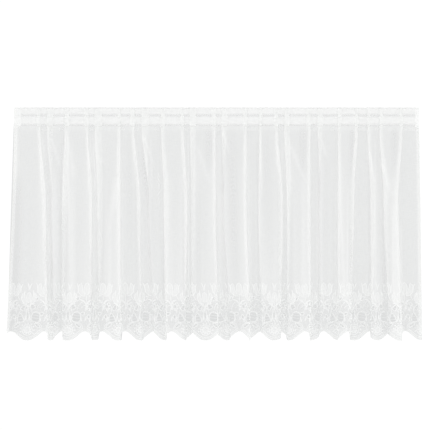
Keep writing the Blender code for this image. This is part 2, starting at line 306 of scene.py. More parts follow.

# Soft creases: across and drop of both ends, half width, and a strength that is
# negative in a trough.
creases = (
    # off the tucks
    (-429, 70, -398, 165, 5, 0.6), (-395, 100, -396, 275, 1.4, 0.9), (-382, 78, -366, 190, 8, 0.5),
    (-333, 70, -320, 160, 5, 0.5), (-316, 60, -309, 320, 1.8, 0.9), (-256, 175, -279, 340, 9, 0.5),
    (-215, 75, -195, 210, 4, 0.5), (-187, 70, -160, 155, 4, 0.45), (-150, 165, -147, 255, 1.4, 0.6),
    (-86, 65, -80, 150, 5, 0.4), (-50, 100, -18, 195, 6, 0.5),
    (19, 65, 36, 130, 4, 0.5), (112, 70, 117, 235, 3, 0.8), (155, 84, 166, 200, 4, 0.5),
    (187, 92, 230, 195, 6, 0.5), (179, 145, 186, 300, 1.4, 0.7), (266, 65, 282, 130, 4, 0.4),
    (357, 84, 344, 230, 5, 0.4), (390, 100, 406, 195, 4, 0.5), (423, 135, 452, 230, 6, 0.6),
    # broad soft ridges and troughs of the lower part
    (-514, 170, -530, 800, 14, -0.8), (-449, 90, -449, 240, 6, 0.6), (-426, 50, -426, 200, 7, -0.6),
    (-390, 230, -390, 640, 8, -0.8), (-372, 140, -370, 700, 8, 0.5), (-319, 60, -316, 700, 6, 0.55),
    (-298, 140, -296, 800, 9, -0.75), (-247, 50, -244, 800, 8, 0.65),
    (-226, 50, -204, 800, 9, -0.3), (-174, 90, -158, 600, 12, -0.45),
    (-48, 190, -48, 800, 9, -0.55), (-20, 50, -20, 170, 10, -0.4),
    (7, 70, 8, 800, 7, 0.5), (36, 50, 50, 800, 15, -0.5), (79, 70, 80, 600, 7, 0.5),
    (125, 50, 125, 420, 16, -0.35), (168, 90, 170, 200, 6, 0.4), (188, 190, 190, 800, 9, -0.7),
    (222, 50, 222, 175, 9, -0.45), (222, 185, 225, 700, 7, 0.35), (278, 120, 280, 800, 10, -0.5),
    (349, 60, 345, 700, 8, -0.5), (403, 90, 405, 700, 7, -0.35), (439, 220, 441, 800, 8, -0.6),
    (457, 50, 457, 175, 8, -0.45), (457, 180, 472, 800, 11, 0.5),
    # narrower ones beside the folds
    (-514, 48, -518, 230, 6, 0.6), (-452, 50, -432, 430, 5, 0.8), (-434, 300, -431, 680, 5, 0.9),
    (-383, 60, -379, 400, 3.5, 0.6), (-398, 90, -399, 700, 6, -0.55), (-328, 80, -330, 230, 3, 0.5),
    (-305, 280, -304, 700, 3.5, -0.5), (-275, 300, -274, 700, 5, 0.5),
    (-207, 120, -203, 640, 6, -0.55), (-190, 90, -180, 230, 3.5, -0.6),
    (-170, 80, -166, 230, 3.5, 0.5), (-135, 280, -135, 700, 4, -0.5),
    (-84, 180, -84, 700, 3.5, -0.5), (-73, 65, -72, 700, 2, 0.7), (-63, 80, -62, 700, 5, -0.8),
    (17, 70, 17, 230, 4, -0.8), (83, 280, 84, 700, 4, 0.5), (107, 80, 110, 700, 4, -0.5),
    (160, 80, 165, 700, 5.5, -0.7), (187, 70, 191, 230, 2.5, 0.6), (264, 50, 264, 240, 4, -0.6),
    (316, 120, 336, 700, 4.5, 0.5), (338, 200, 334, 700, 3.5, 0.4), (346, 280, 345, 700, 4, -0.5),
    (349, 50, 349, 230, 4, -0.5), (394, 80, 396, 700, 4, -0.5), (408, 80, 408, 700, 3.5, 0.5),
    (429, 150, 437, 700, 5, -0.5), (455, 250, 456, 700, 4.5, 0.6), (476, 300, 476, 700, 4, 0.5),
)


# A crease lifts the cloth and also changes its cover: painted light along a ridge, painted shadow
# in a trough.
def creaseRise(x, drop):
    total = np.zeros(len(x))
    for x0, drop0, x1, drop1, half, strength in creases:
        share = (drop - drop0) / (drop1 - drop0)
        near = (share > 0.0) & (share < 1.0)
        reach = 0.5 * abs(x1 - x0) + hang["creaseReach"] * half
        near &= np.abs(x - 0.5 * (x0 + x1)) < reach
        centre = x0 + (x1 - x0) * share[near]
        faded = np.sin(math.pi * share[near] ** hang["creaseFade"]) ** hang["creaseFade"]
        total[near] += strength * faded * np.exp(-((x[near] - centre) / half) ** 2)
    return total


print("hanging lines worked out")

lastSample = hang["samples"] - 1.001
lastLevel = hang["levels"] - 1.001


def sampleAt(across):
    return across / clothWidth * (hang["samples"] - 1)


def levelAt(up):
    return (cloth["height"] - up - dropLow) / (cloth["height"] - dropLow) * (hang["levels"] - 1)


def lookUp(table, along, level):
    # Between the four nearest values
    j = np.clip(along, 0.0, lastSample)
    k = np.clip(level, 0.0, lastLevel)
    j0 = j.astype(int)
    k0 = k.astype(int)
    j -= j0
    k -= k0
    upper = table[k0, j0] * (1.0 - j) + table[k0, j0 + 1] * j
    lower = table[k0 + 1, j0] * (1.0 - j) + table[k0 + 1, j0 + 1] * j
    return upper * (1.0 - k) + lower * k


def hung(across, up, out):
    # Where points of the flat cloth hang, in metres; out is towards the room
    along = sampleAt(across)
    level = levelAt(up)
    x = lookUp(lineX, along, level)
    y = lookUp(lineY, along, level)
    dx = lookUp(lineX, along + 1.0, level) - lookUp(lineX, along - 1.0, level)
    dy = lookUp(lineY, along + 1.0, level) - lookUp(lineY, along - 1.0, level)
    size = np.maximum(np.hypot(dx, dy), 1e-9)
    crease = creaseRise(x, cloth["height"] - up)
    lifted = y - out * dx / size - crease * hang["creaseDepth"]
    place = np.stack([x + out * dy / size, lifted, up - cloth["height"]], axis=1)
    # Creases add to the cover too: painted light on their ridges, painted shadow in their troughs.
    ridge = np.clip(lookUp(lineRidge, along, level) + crease, *hang["ridgeLimits"])
    return place * mm, ridge


def readPoints(mesh):
    flat = np.empty(len(mesh.vertices) * 3)
    mesh.vertices.foreach_get("co", flat)
    return flat.reshape(-1, 3)


def writePoints(mesh, points):
    mesh.vertices.foreach_set("co", points.astype(np.float32).ravel())
    mesh.update()


def setField(mesh, name, values):
    field = mesh.attributes.new(name, "FLOAT", "POINT")
    field.data.foreach_set("value", values.astype(np.float32))


def hangMesh(mesh):
    # Flat (across, up, out) millimetres become hung metres
    points = readPoints(mesh)
    places, ridge = hung(points[:, 0], points[:, 1], points[:, 2])
    writePoints(mesh, places)
    setField(mesh, "ridge", ridge)


def flatMap(mesh):
    # A UV map that holds the flat place in metres, so patterns follow the cloth
    points = readPoints(mesh)
    corners = np.empty(len(mesh.loops), dtype=np.int32)
    mesh.loops.foreach_get("vertex_index", corners)
    layer = mesh.uv_layers.new(name="flat")
    layer.data.foreach_set("uv", (points[corners, :2] * mm).astype(np.float32).ravel())


def newPiece(name, bm, material):
    mesh = bpy.data.meshes.new(name)
    bm.to_mesh(mesh)
    bm.free()
    piece = bpy.data.objects.new(name, mesh)
    scene.collection.objects.link(piece)
    mesh.materials.append(material)
    mesh.shade_smooth()
    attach(piece, "root")
    return piece


class Field:
    # A value in a material, for shader maths
    def __init__(self, socket):
        self.socket = socket

    def join(self, operation, other, swapped=False):
        tree = self.socket.id_data
        node = tree.nodes.new("ShaderNodeMath")
        node.operation = operation
        pair = (other, self) if swapped else (self, other)
        for slot, value in zip(node.inputs, pair):
            feed(tree, slot, value)
        return Field(node.outputs[0])

    def __add__(self, other):
        return self.join("ADD", other)

    def __radd__(self, other):
        return self.join("ADD", other, True)

    def __sub__(self, other):
        return self.join("SUBTRACT", other)

    def __rsub__(self, other):
        return self.join("SUBTRACT", other, True)

    def __mul__(self, other):
        return self.join("MULTIPLY", other)


def feed(tree, slot, value):
    if isinstance(value, Field):
        tree.links.new(value.socket, slot)
    else:
        slot.default_value = value


class Finish:
    # A Principled material with one method for any other node
    def __init__(self, name, colour, roughness, specular=0.25):
        self.material = bpy.data.materials.new(name)
        self.material.use_nodes = True
        self.tree = self.material.node_tree
        self.shader = self.tree.nodes["Principled BSDF"]
        self.set("Base Color", (*colour, 1.0))
        self.set("Roughness", roughness)
        self.set("Specular IOR Level", specular)

    def set(self, slot, value):
        feed(self.tree, self.shader.inputs[slot], value)

    def node(self, kind, settings=None, inputs=None, output=0):
        node = self.tree.nodes.new(kind)
        for key, value in (settings or {}).items():
            setattr(node, key, value)
        for key, value in (inputs or {}).items():
            feed(self.tree, node.inputs[key], value)
        return Field(node.outputs[output])

    def sine(self, value):
        return self.node("ShaderNodeMath", {"operation": "SINE"}, {0: value})

    def attribute(self, name):
        return self.node("ShaderNodeAttribute", {"attribute_name": name}, None, "Fac")

    def flatPlace(self):
        # The flat place itself, then its two numbers
        place = self.node("ShaderNodeUVMap", {"uv_map": "flat"})
        numbers = [self.node("ShaderNodeSeparateXYZ", None, {0: place}, axis) for axis in (0, 1)]
        return place, *numbers

    def noise(self, vector, scale, stretch):
        stretched = self.node("ShaderNodeMapping", None, {"Vector": vector, "Scale": stretch})
        inputs = {"Vector": stretched, "Scale": scale, "Detail": 2.0}
        return self.node("ShaderNodeTexNoise", None, inputs)

    def bump(self, height, strength):
        inputs = {"Height": height, "Strength": strength, "Distance": bumpDistance}
        self.set("Normal", self.node("ShaderNodeBump", None, inputs))


bumpDistance = 0.0002  # metres

voile = {
    "colour": (0.965, 0.97, 0.965),
    "roughness": 0.85,
    "alpha": 0.23,
    "headingAlpha": 0.62,
    "headingCoverCut": 0.75,  # less cover along the stitch lines, a painted shadow of the stitched grooves, and in the allowance
    "hemAlpha": 0.5,
    "scallopAlpha": 0.19,
    "ridgeAlpha": 0.3,  # more on a ridge: partly gathered cloth, partly painted light; less in valleys, a painted shadow
    "threadPitch": 0.0007,  # metres
    "threadDepth": 0.08,
    "slubDepth": 0.08,
    "slubScale": 60.0,
    "slubStretch": 14.0,
    "bump": 0.25,
    "slubBump": 2.0,
    "netPitch": 0.0032,
    "netOpen": 0.38,  # less thread in the ground of the lace
    "netDepth": 0.3,
    "netFrom": 0.114,  # height above the hem, in metres
    "netTo": 0.088,
}


def voileFinish(name, alpha, opened=0.0, netted=False):
    # Plain sheer weave: crossing threads, a few thicker ones, and the holes between them
    finish = Finish(name, voile["colour"], voile["roughness"])
    place, across, up = finish.flatPlace()
    turn = 2.0 * math.pi / voile["threadPitch"]
    weave = finish.sine(across * turn) + finish.sine(up * turn)
    stretch = voile["slubStretch"]
    upright = finish.noise(place, voile["slubScale"], (1.0, stretch, 1.0))
    level = finish.noise(place, voile["slubScale"], (stretch, 1.0, 1.0))
    slub = upright + level - 1.0
    # More cover on ridges and fold fronts, less in valleys: partly gathered cloth, partly painted
    # light and painted shadow
    sheer = alpha + finish.attribute("ridge") * voile["ridgeAlpha"]
    sheer = sheer + weave * (voile["threadDepth"] * alpha) + slub * voile["slubDepth"]
    # Less cover where the heading asks for it: painted shadow along its stitch lines, and less
    # cover in the allowance
    if opened:
        sheer = sheer * (1.0 - finish.attribute("coverCut") * opened)
    if netted:
        mesh = 2.0 * math.pi / voile["netPitch"]
        net = finish.sine((across + up) * mesh) * finish.sine((across - up) * mesh)
        limits = {"Value": up, "From Min": voile["netFrom"], "From Max": voile["netTo"]}
        zone = finish.node("ShaderNodeMapRange", {"interpolation_type": "SMOOTHSTEP"}, limits)
        sheer = sheer * (1.0 - zone * (voile["netOpen"] + net * voile["netDepth"]))
    finish.set("Alpha", sheer)
    finish.bump(weave + slub * voile["slubBump"], voile["bump"])
    return finish.material


thread = {
    "colour": (0.975, 0.98, 0.975),
    "roughness": 0.7,
    "pitch": 0.00045,  # metres
    "unevenScale": 300.0,
    "bump": 0.15,
    "alpha": 0.46,
    "fillAlpha": 0.34,
    "ridgeAlpha": 0.15,
}


def threadFinish(name, alpha):
    # Satin stitch: threads laid side by side across each stroke
    finish = Finish(name, thread["colour"], thread["roughness"])
    place, along, _ = finish.flatPlace()
    threads = finish.sine(along * (2.0 * math.pi / thread["pitch"]))
    unevenness = finish.noise(place, thread["unevenScale"], (1.0, 1.0, 1.0))
    finish.bump(threads + unevenness, thread["bump"])
    # More cover on ridges, as on the voile: partly painted light
    finish.set("Alpha", alpha + finish.attribute("ridge") * thread["ridgeAlpha"])
    return finish.material


sheerVoile = voileFinish("sheerVoile", voile["alpha"], netted=True)
headingVoile = voileFinish("headingVoile", voile["headingAlpha"], voile["headingCoverCut"])
hemVoile = voileFinish("hemVoile", voile["hemAlpha"])
scallopVoile = voileFinish("scallopVoile", voile["scallopAlpha"])
laceThread = threadFinish("laceThread", thread["alpha"])
laceFilling = threadFinish("laceFilling", thread["fillAlpha"])
print("materials made")

# The gaps of one repeat of the lace: form, across from its notch, up, length, width and slant.
laceGaps = (
    ("fan", 24, 60, 22, 16, 100),
    ("moon", 64, 63, 22, 19, 80),
    ("fan", 31, 86, 15, 9, 60),
    ("fan", 54, 90, 15, 11, 115),
    ("ring", 9, 88, 9, 9, 0),
    ("leaf", 42.5, 66, 32, 5.5, 92),
    ("leaf", 17, 40, 17, 6, 38),
    ("leaf", 69, 40, 17, 6, -38),
    ("leaf", 79, 70, 9, 6, 20),
    ("leaf", 8, 62, 10, 6, 100),
    ("leaf", 65, 108, 11, 5.5, 60),
)

gapCorners = {
    "leaf": ((0.5, 0.0), (0.0, 0.5), (-0.5, 0.0), (0.0, -0.5)),
    "fan": ((-0.5, -0.08), (-0.4, -0.45), (0.5, 0.0), (-0.35, 0.5)),
    "moon": ((-0.5, -0.5), (0.3, -0.42), (0.5, 0.05), (0.22, 0.5), (-0.5, 0.42)),
    "ring": (
        (0.5, 0.0), (0.25, 0.433), (-0.25, 0.433), (-0.5, 0.0), (-0.25, -0.433), (0.25, -0.433),
    ),
}

gapRules = {
    "cornerSteps": 8,  # of the soft curve, between two corners
    "tryPoints": 36,
    "sideMargin": 4.0,  # cloth left at the side edges
    "reach": 24.0,  # from its middle, no gap goes further
}


def hemUp(across):
    # Height of the scalloped edge above its low points
    place = ((across - cloth["firstNotch"]) / cloth["repeat"]) % 1.0
    rise = 0.5 - 0.5 * np.cos(math.pi * np.abs(2.0 * place - 1.0))
    return cloth["scallopDepth"] * rise ** cloth["scallopPower"]


def roundedOutline(corners):
    # Angles and radii of a soft curve through the corners, for one whole turn
    wrapped = np.array(corners[-1:] + corners + corners[:2])
    steps = gapRules["cornerSteps"]
    curve = smoothLine(wrapped, steps)[steps:-steps - 1]
    angles = np.arctan2(curve[:, 1], curve[:, 0])
    order = np.argsort(angles)
    return angles[order], np.hypot(*curve.T)[order]


outlines = {form: roundedOutline(corners) for form, corners in gapCorners.items()}


def rimShare(gap, start, across, up):
    # 1 on the rim of a gap, less inside
    form, gapAcross, gapUp, length, width, slant = gap
    turn = math.radians(slant)
    dx = across - start - gapAcross
    dy = up - gapUp
    x = (dx * math.cos(turn) + dy * math.sin(turn)) / length
    y = (dy * math.cos(turn) - dx * math.sin(turn)) / width
    radii = np.interp(np.arctan2(y, x), *outlines[form], period=2.0 * math.pi)
    return np.hypot(x, y) / radii


def gapPlace(gap, start, x, y):
    # The flat place of x along a gap and y across it
    _, gapAcross, gapUp, _, _, slant = gap
    turn = math.radians(slant)
    across = start + gapAcross + x * math.cos(turn) - y * math.sin(turn)
    up = gapUp + x * math.sin(turn) + y * math.cos(turn)
    return across, up


def rim(gap, start, grow, count):
    # Points round a gap, grown by some millimetres
    form, _, _, length, width, _ = gap
    angles = np.linspace(0.0, 2.0 * math.pi, count + 1)
    radii = np.interp(angles, *outlines[form], period=2.0 * math.pi)
    x = np.cos(angles) * radii * (length + 2.0 * grow)
    y = np.sin(angles) * radii * (width + 2.0 * grow)
    return np.stack(gapPlace(gap, start, x, y), axis=1)


repeatStarts = [
    cloth["firstNotch"] + cloth["repeat"] * i
    for i in range(-1, math.ceil(cloth["repeats"]))
]
keptGaps = []
for start in repeatStarts:
    for gap in laceGaps:
        ring = rim(gap, start, 0.0, gapRules["tryPoints"])[:, 0]
        inside = ring.min() > gapRules["sideMargin"]
        if inside and ring.max() < clothWidth - gapRules["sideMargin"]:
            keptGaps.append((gap, start))
print("gaps kept:", len(keptGaps))

# The sheer panel: an even grid of the flat cloth, cut out and then hung.
panel = {
    "columns": 990,
    "plainRows": 34,
    "borderRows": 66,
    "snap": 2.2,  # how near a cut edge has to lie to be moved onto a rim
    "turnBlur": 14,  # in samples
    "levelBlur": 4,
    "crowd": 1.0,  # how much closer the columns stand round a turn
    "crowdOver": 190.0,
    # height of the denser ground of the scallops
    "denseAtNotch": 11.0,
    "denseAtLow": 30.0,
}

panelTop = cloth["height"] - cloth["headingHeight"] - cloth["seamGap"]
rows = panel["plainRows"] + panel["borderRows"]


def rowUp(row, low):
    if row < panel["borderRows"]:
        return mix(low, cloth["borderHeight"], row / panel["borderRows"])
    return mix(cloth["borderHeight"], panelTop, (row - panel["borderRows"]) / panel["plainRows"])


# How sharply the cloth turns at each place, 1 on average
turned = np.abs(np.diff(np.unwrap(np.arctan2(np.diff(lineY), np.diff(lineX))), axis=1))
turned = np.pad(turned, ((0, 0), (1, 1)))
turned = np.array([blurred(line, panel["turnBlur"]) for line in turned])
turned /= turned.mean(axis=1)[:, None]
turned = np.array([blurred(line, panel["levelBlur"]) for line in turned.T]).T


def rowPlaces(up, columns):
    # Columns of one row, closer together round the turns of the folds above the border
    level = min(max(levelAt(up), 0.0), lastLevel)
    bend = mix(turned[int(level)], turned[int(level) + 1], level % 1.0)
    crowd = panel["crowd"] * ease((up - cloth["borderHeight"]) / panel["crowdOver"])
    reached = np.concatenate([[0.0], np.cumsum(1.0 + crowd * bend)])[:hang["samples"]]
    wanted = np.linspace(0.0, reached[-1], columns + 1)
    return np.interp(wanted, reached, np.linspace(0.0, clothWidth, hang["samples"]))


rowTable = [rowPlaces(rowUp(row, 0.0), panel["columns"]) for row in range(rows + 1)]
bm = bmesh.new()
bmesh.ops.create_grid(bm, x_segments=panel["columns"], y_segments=rows, size=0.5)
for vert in bm.verts:
    row = round((vert.co.y + 0.5) * rows)
    across = rowTable[row][round((vert.co.x + 0.5) * panel["columns"])]
    vert.co = (across, rowUp(row, hemUp(across)), 0.0)

bm.faces.ensure_lookup_table()
centres = np.array([face.calc_center_median() for face in bm.faces])
cut = np.zeros(len(centres), dtype=bool)
for gap, start in keptGaps:
    near = np.abs(centres[:, 0] - start - gap[1]) < gapRules["reach"]
    near &= centres[:, 1] < cloth["borderHeight"]
    cut[near] |= rimShare(gap, start, centres[near, 0], centres[near, 1]) < 1.0
bmesh.ops.delete(bm, geom=[bm.faces[i] for i in np.flatnonzero(cut)], context="FACES")

# The stepped edges of the cut gaps move onto the rims
edgeVerts = [vert for vert in bm.verts if vert.is_boundary]
places = np.array([vert.co for vert in edgeVerts])
for gap, start in keptGaps:
    middle = np.array([start + gap[1], gap[2]])
    near = np.flatnonzero(np.abs(places[:, 0] - middle[0]) < gapRules["reach"])
    share = rimShare(gap, start, places[near, 0], places[near, 1])
    arm = places[near, :2] - middle
    close = np.abs(np.hypot(*arm.T) * (1.0 - 1.0 / share)) < panel["snap"]
    for i, vertArm, vertShare in zip(near[close], arm[close], share[close]):
        edgeVerts[i].co.xy = middle + vertArm / vertShare

for face in bm.faces:
    spot = face.calc_center_median()
    low = hemUp(spot.x)
    dense = mix(panel["denseAtLow"], panel["denseAtNotch"], low / cloth["scallopDepth"])
    face.material_index = int(spot.y - low < dense)

voilePanel = newPiece("voilePanel", bm, sheerVoile)
voilePanel.data.materials.append(scallopVoile)
flatMap(voilePanel.data)
hangMesh(voilePanel.data)
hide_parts("panel")
print("panel hung")

# Side hems: a narrow turning behind each side edge.
sideHem = {
    "width": 8.5,
    "columns": 5,
    "rows": 120,
    "out": -0.45,
    "inset": 0.2,
    "lift": 1.0,  # above the scalloped edge
}

for side, name in ((0, "sideHemLeft"), (1, "sideHemRight")):
    bm = bmesh.new()
    bmesh.ops.create_grid(bm, x_segments=sideHem["columns"], y_segments=sideHem["rows"], size=0.5)
    for vert in bm.verts:
        inward = (vert.co.x + 0.5) * sideHem["width"] + sideHem["inset"]
        across = clothWidth - inward if side else inward
        low = float(hemUp(across)) + sideHem["lift"]
        vert.co = (across, mix(low, panelTop, vert.co.y + 0.5), sideHem["out"])
    turning = newPiece(name, bm, hemVoile)
    flatMap(turning.data)
    hangMesh(turning.data)
print("side hems hung")

# The heading: one sheet, up the back wall, over the top and down the front wall.
heading = {
    "columns": 800,
    "tuckRise": 0.7,
    # height and half thickness of the two walls, from the top down
    "walls": (
        (-0.4, 0.05), (-0.7, 0.5), (-2.0, 1.0), (-6.0, 1.3), (-12.0, 1.3), (-17.0, 1.0),
        (-20.3, 0.5), (-23.0, 1.4), (-26.0, 3.6), (-29.0, 4.2), (-34.0, 4.4), (-39.0, 4.2),
        (-42.0, 3.6), (-44.5, 1.6), (-46.0, 0.7), (-47.0, 0.5),
    ),
    # heights of the sheet, from its bottom, with the rows up to the next, and its top
    "rows": ((-47.0, 4), (-42.0, 8), (-26.0, 6), (-17.0, 7)),
    "top": -0.4,
    "allowance": (-59.7, -53.0),  # rows of cloth below the back wall
    "allowanceFrom": -47.5,
    "allowanceOpen": 0.85,
    "stitchLines": (-20.3, -46.6),
    "stitchShadeHalf": 3.4,  # of the painted shadow along the stitching
    # the number of layers at which a tuck starts to show, and how many more make it full
    "layersFrom": 1.1,
    "layersOver": 1.2,
    "tuckRidge": 0.5,
    "sideCover": (2.2, 1.0),  # closed rows at the left and right sides, in hem widths
}

wallHeights = [height for height, half in heading["walls"]]
wallHalves = [half for height, half in heading["walls"]]
stops = [height for height, rowCount in heading["rows"]] + [heading["top"]]
frontHeights = []
for (low, rowCount), high in zip(heading["rows"], stops[1:]):
    frontHeights.extend(np.linspace(low, high, rowCount, endpoint=False))
frontHeights = np.array(frontHeights + [heading["top"]])
backHeights = np.concatenate([heading["allowance"], frontHeights[:-1]])
sheetHeights = np.concatenate([backHeights, frontHeights[::-1]])
sheetSides = np.concatenate([np.ones(len(backHeights)), -np.ones(len(frontHeights))])
sheetHalves = np.interp(-sheetHeights, -np.array(wallHeights), wallHalves)
sheetRun = np.concatenate([[0.0], np.cumsum(np.abs(np.diff(sheetHeights)))])

bm = bmesh.new()
sheetRows = len(sheetHeights) - 1
bmesh.ops.create_grid(bm, x_segments=heading["columns"], y_segments=sheetRows, size=0.5)
headingPiece = newPiece("headingCloth", bm, headingVoile)
points = readPoints(headingPiece.data)
column = np.rint((points[:, 0] + 0.5) * heading["columns"]).astype(int)
across = rowPlaces(panelTop, heading["columns"])[column]
step = np.rint((points[:, 1] + 0.5) * sheetRows).astype(int)
flatPoints = np.stack([across, sheetRun[step], np.zeros(len(across))], axis=1)
writePoints(headingPiece.data, flatPoints)
flatMap(headingPiece.data)
along = sampleAt(across)
x = lookUp(lineX, along, np.zeros(len(along)))
tuck = lookUp(lineY, along, np.zeros(len(along)))
rise = (hang["valleyTop"] - tuck) / hang["pressedDepth"] * heading["tuckRise"]
y = sheetSides[step] * sheetHalves[step] - rise
z = sheetHeights[step]
# Painted shadow: cover cut in bands along the stitch lines so the grey behind darkens the stitched
# grooves; not on the tucks
stitchShade = sum(np.exp(-((z - line) / heading["stitchShadeHalf"]) ** 2) for line in heading["stitchLines"])

# Layers over each other in each millimetre of the heading: 1 between the tucks and 3 in them
bins = np.arange(cloth["headingLeft"] - 2.0, cloth["headingRight"] + 2.0, 1.0)
middles = 0.5 * (lineX[0][1:] + lineX[0][:-1])
layers = np.histogram(middles, bins, weights=np.abs(np.diff(lineX[0])))[0]
layers = np.convolve(layers, (0.25, 0.5, 0.25), mode="same")
layers = np.interp(x, bins[:-1] + 0.5, layers)
tucked = np.clip((layers - heading["layersFrom"]) / heading["layersOver"], 0.0, 1.0)
leftCover, rightCover = heading["sideCover"]
tucked[across < leftCover * sideHem["width"]] = 1.0
tucked[across > clothWidth - rightCover * sideHem["width"]] = 1.0
opened = np.clip(stitchShade, 0.0, 1.0) * (1.0 - tucked)
opened[z < heading["allowanceFrom"]] = heading["allowanceOpen"]
setField(headingPiece.data, "coverCut", opened)
setField(headingPiece.data, "ridge", tucked * heading["tuckRidge"])
writePoints(headingPiece.data, np.stack([x, y, z], axis=1) * mm)
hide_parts("heading")
print("heading made")

# Embroidery: every stroke is a low dome of satin stitch on the face of the cloth.
stitch = {
    "steps": 8,
    "cordSteps": 6,
    "barSteps": 3,
    "arcSteps": 26,
    "rimSteps": 18,
    "across": 4,
    "base": 0.08,
    "height": 0.3,
    "fullHalf": 1.0,  # half width from which a dome has its full height
    "weld": 0.02,
    # powers of the sine that shapes the two ends
    "pointed": 0.75,
    "rounded": 0.5,
    "edging": 0.75,
    "edgingOut": 0.1,
    "sideInset": 0.6,  # from the side edges of the cloth
}


def addStroke(bm, path, halfWidths, out=0.0, closed=False, filling=False):
    count = len(path) - 1
    path = np.asarray(path, dtype=float)
    halves = np.broadcast_to(np.asarray(halfWidths, dtype=float), len(path))
    ahead = np.gradient(path, axis=0)
    if closed:
        ahead[0] = ahead[-1] = path[1] - path[-2]
    ahead /= np.maximum(np.hypot(*ahead.T), 1e-9)[:, None]
    run = np.concatenate([[0.0], np.cumsum(np.hypot(*np.diff(path, axis=0).T))])
    uv = bm.loops.layers.uv["flat"]
    grid = bmesh.ops.create_grid(bm, x_segments=count, y_segments=stitch["across"], size=0.5,
                                 calc_uvs=True)
    faces = {face for vert in grid["verts"] for face in vert.link_faces}
    for face in faces:
        face.material_index = int(filling)
        for loop in face.loops:
            i = round((loop.vert.co.x + 0.5) * count)
            loop[uv].uv = (run[i] * mm, (loop.vert.co.y + 0.5) * halves.max() * 2.0 * mm)
    for vert in grid["verts"]:
        i = round((vert.co.x + 0.5) * count)
        sideways = 2.0 * vert.co.y * halves[i]
        dome = math.cos(math.pi * vert.co.y) * stitch["height"] * min(halves[i], stitch["fullHalf"])
        vert.co = (
            path[i, 0] - ahead[i, 1] * sideways,
            path[i, 1] + ahead[i, 0] * sideways,
            out + (stitch["base"] + dome),
        )
    bmesh.ops.remove_doubles(bm, verts=grid["verts"], dist=stitch["weld"])


def bent(start, end, bend, steps):
    # A bow between two points that stands off their line by bend
    start, end = np.array(start, dtype=float), np.array(end, dtype=float)
    share = np.linspace(0.0, 1.0, steps + 1)[:, None]
    sideways = np.array([start[1] - end[1], end[0] - start[0]])
    sideways /= np.hypot(*sideways)
    return start + (end - start) * share + sideways * (4.0 * bend * share * (1.0 - share))


def petalHalves(half, fullest, ends):
    # Half widths that are greatest at the share fullest of the length
    share = np.linspace(0.0, 1.0, stitch["steps"] + 1)
    power = math.log(0.5) / math.log(fullest)
    return half * np.sin(math.pi * np.minimum(share ** power, 1.0)) ** ends


def petal(bm, start, end, bend, half, fullest=0.5):
    # A stroke that is pointed at both ends
    halves = petalHalves(half, fullest, stitch["pointed"])
    addStroke(bm, bent(start, end, bend, stitch["steps"]), halves)


def edgedPetal(bm, start, end, bend, half, fullest):
    # A broad petal of light filling, with a raised line of satin stitch round it
    path = bent(start, end, bend, stitch["steps"])
    halves = petalHalves(half, fullest, stitch["rounded"])
    ahead = np.gradient(path, axis=0)
    side = np.stack([-ahead[:, 1], ahead[:, 0]], axis=1) * (halves / np.hypot(*ahead.T))[:, None]
    around = np.concatenate([path + side, (path - side)[-2::-1]])
    addStroke(bm, path, halves, filling=True)
    addStroke(bm, around, stitch["edging"], stitch["edgingOut"], closed=True)


# A tulip: shares of its half width, and of its height.
tulipShape = {
    "middleLift": 2.0,  # millimetres
    "middleHalf": 0.32,
    "middleFullest": 0.55,
    "sideFoot": 0.16,
    "sideTip": 0.66,
    "sideHeight": 0.97,
    "sideBend": 0.34,
    "sideHalf": 0.27,
    "sideFullest": 0.5,
}


def tulip(bm, foot, height, width):
    # Three broad petals in a rounded cup
    x, up = foot
    half = 0.5 * width
    shape = tulipShape
    edgedPetal(bm, (x, up + shape["middleLift"]), (x, up + height), 0.0,
               shape["middleHalf"] * half, shape["middleFullest"])
    for side in (-1.0, 1.0):
        start = (x + side * half * shape["sideFoot"], up)
        end = (x + side * half * shape["sideTip"], up + height * shape["sideHeight"])
        edgedPetal(bm, start, end, -side * half * shape["sideBend"],
                   shape["sideHalf"] * half, shape["sideFullest"])


def cord(bm, start, end, bend, half, steps):
    addStroke(bm, bent(start, end, bend, steps), half)


def ringOf(centre, radius, count, first):
    angles = first + np.arange(count) * (2.0 * math.pi / count)
    return [(centre[0] + radius * math.cos(a), centre[1] + radius * math.sin(a)) for a in angles]


def flower(bm, centre, inner, outer, petals, half):
    first = motif["flowerTurn"]
    pairs = zip(ringOf(centre, inner, petals, first), ringOf(centre, outer, petals, first))
    for start, end in pairs:
        petal(bm, start, end, 0.0, half, motif["flowerFullest"])


def circle(bm, centre, radius, half, steps):
    angles = np.linspace(0.0, 2.0 * math.pi, steps + 1)
    x = centre[0] + radius * np.cos(angles)
    up = centre[1] + radius * np.sin(angles)
    addStroke(bm, np.stack([x, up], axis=1), half, closed=True)


def scallopArc(bm, above, half, inset):
    across = np.linspace(inset, cloth["repeat"] - inset, stitch["arcSteps"] + 1)
    path = np.stack([across, hemUp(across + cloth["firstNotch"]) + above], axis=1)
    addStroke(bm, path, half)


